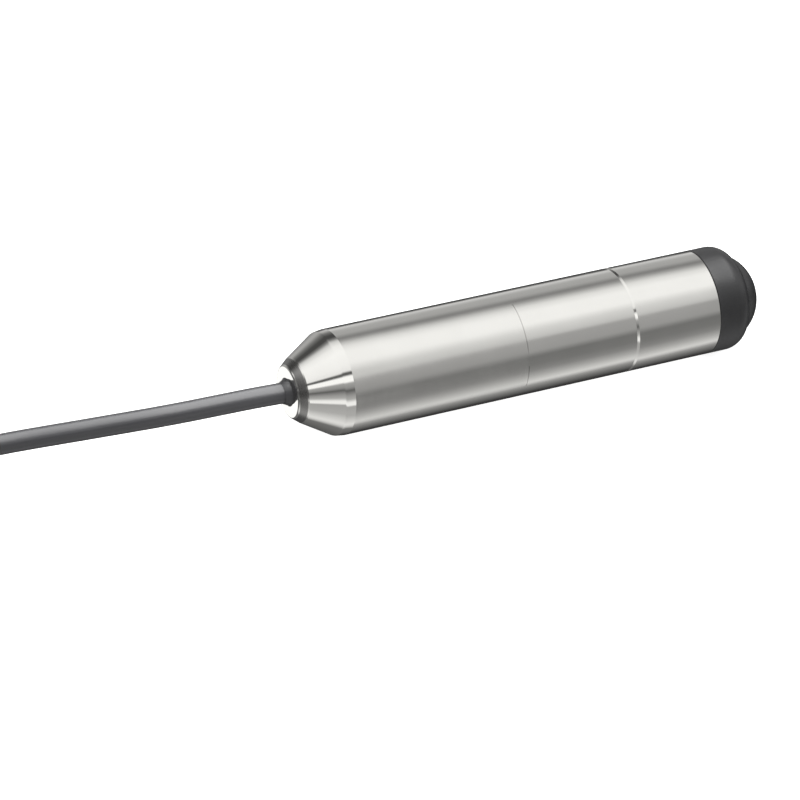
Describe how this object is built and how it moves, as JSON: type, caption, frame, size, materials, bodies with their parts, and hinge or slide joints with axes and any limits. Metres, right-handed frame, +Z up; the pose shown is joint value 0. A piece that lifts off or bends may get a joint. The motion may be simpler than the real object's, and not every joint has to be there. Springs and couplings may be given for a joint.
{
  "type": "submersible level transmitter",
  "caption": "Hydrostatic level probe: a turned steel cylinder with a coned cable outlet, a push-on plastic nose cap and a vented cable wound into a coil.",
  "frame": {"origin": "under the middle of the probe without its cable, on the surface that it lies on", "axes": "+X along the probe's axis from the cable outlet to the nose cap, +Z up from the surface"},
  "size_m": [0.3646, 0.0615, 0.0373],
  "materials": {
    "steel": "satin turned stainless steel",
    "cap_plastic": "black moulded plastic",
    "cable_jacket": "dark grey cable jacket",
    "rubber": "black rubber",
    "ceramic": "white alumina ceramic",
    "white_plastic": "natural white plastic",
    "brass": "plain brass",
    "board": "green glass-fibre board",
    "terminal": "green terminal plastic",
    "chip": "black moulding compound",
    "can": "aluminium can",
    "ribbon": "amber flexible circuit",
    "core_red": "red core insulation",
    "core_white": "white core insulation",
    "core_blue": "blue core insulation",
    "vent_plastic": "translucent vent tube",
    "sleeve": "black heat-shrink sleeve",
    "tin": "tinned copper",
    "tie": "black nylon"
  },
  "bodies": {
    "probe": {"housing_tube": "steel", "sensor_head": "steel", "head_o_ring": "rubber", "cap_retention_ring": "rubber", "measuring_cell": "ceramic", "cell_diaphragm": "ceramic", "cell_o_ring": "rubber", "cell_support_ring": "white_plastic", "cell_retaining_ring": "steel", "main_board": "board", "board_holder_cable_end": "white_plastic", "board_holder_cell_end": "white_plastic", "terminal_block": "terminal", "surge_arrester": "ceramic", "suppressor_diode": "chip", "converter_chip": "chip", "filter_capacitor": "can", "amplifier_chip": "chip", "cell_ribbon": "ribbon", "exit_collar": "rubber", "gland_washer_front": "brass", "gland_washer_rear": "brass", "cable_seal": "rubber", "gland_screw": "brass", "strain_relief_ring": "steel", "cable_inside": "cable_jacket", "wire_supply": "core_red", "wire_screen": "core_white", "wire_signal": "core_blue", "vent_tube_inside": "vent_plastic", "cable_run": "cable_jacket", "cable_coil": "cable_jacket", "cable_end": "cable_jacket", "coil_tie_near": "tie", "coil_tie_far": "tie", "end_sleeve": "sleeve", "core_supply": "core_red", "core_screen": "core_white", "core_signal": "core_blue", "ferrule_supply": "tin", "ferrule_screen": "tin", "ferrule_signal": "tin", "vent_tube_end": "vent_plastic", "vent_filter": "white_plastic"},
    "cap": {"protective_cap": "cap_plastic"}
  },
  "joints": [
    {"name": "cap_pull_off", "type": "slide", "parent": "probe", "child": "cap", "axis": [1, 0, 0], "range_m": [0, 0.016]}
  ]
}
